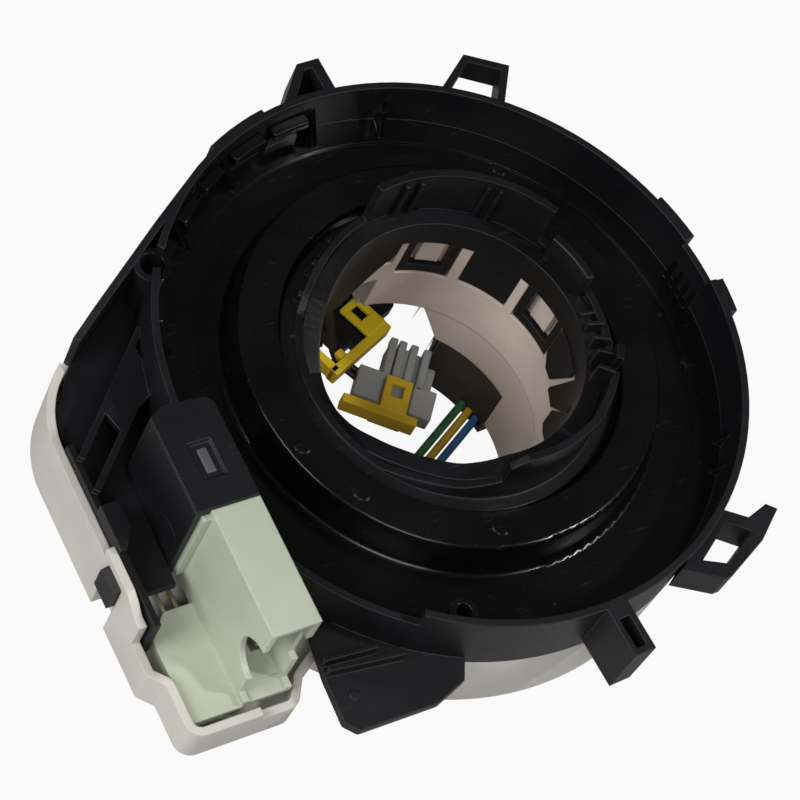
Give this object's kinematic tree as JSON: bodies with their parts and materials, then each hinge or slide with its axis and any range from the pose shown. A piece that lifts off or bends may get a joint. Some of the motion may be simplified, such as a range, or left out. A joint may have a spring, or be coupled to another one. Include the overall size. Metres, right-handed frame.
{
  "type": "steering clock spring",
  "caption": "Steering column clock spring: a stator ring with a connector bay round a hollow rotor with a ribbon cable, switch socket and igniter leads.",
  "frame": {"origin": "centre of the plain stretch of the rotor's bore, on the bore axis", "axes": "+Z along the bore axis to the rear, the side that faces the steering column; the connector bay is on the -X side and its sockets open towards -Y"},
  "size_m": [0.1283, 0.1243, 0.06],
  "materials": {
    "black_plastic": "semi-gloss",
    "light_plastic": "satin",
    "pale_green_plastic": "satin",
    "dark_brown_plastic": "matt",
    "grey_plastic": "satin",
    "yellow_plastic": "semi-gloss",
    "pin_metal": "bright",
    "slip_film": "matt",
    "ribbon_film": "glossy",
    "yellow_lead": "semi-gloss",
    "green_lead": "semi-gloss",
    "blue_lead": "semi-gloss",
    "dark_blue_lead": "semi-gloss"
  },
  "bodies": {
    "stator": {"rear_housing": "black_plastic", "front_housing": "light_plastic", "main_connector": "pale_green_plastic", "connector_pins_upper": "pin_metal", "connector_pins_lower": "pin_metal", "stator_terminal_block": "black_plastic", "ribbon_cable": "ribbon_film", "slip_sheet_rear": "slip_film"},
    "rotor": {"rotor": "light_plastic", "slip_sheet_front": "slip_film", "rotor_terminal_block": "black_plastic", "retaining_sleeve": "black_plastic", "switch_socket": "dark_brown_plastic", "switch_pins": "pin_metal", "grey_squib_body": "grey_plastic", "grey_squib_lock": "yellow_plastic", "black_squib_body": "black_plastic", "black_squib_lock": "yellow_plastic", "switch_lead_blue": "blue_lead", "switch_lead_yellow": "yellow_lead", "switch_lead_green": "green_lead", "grey_squib_lead_a": "dark_blue_lead", "grey_squib_lead_b": "yellow_lead", "black_squib_lead_a": "dark_blue_lead", "black_squib_lead_b": "dark_blue_lead"}
  },
  "joints": [
    {"name": "rotor_spin", "type": "hinge", "parent": "stator", "child": "rotor", "pos_m": [0, 0, 0], "axis": [0, 0, 1], "range_deg": [-900, 900]}
  ]
}
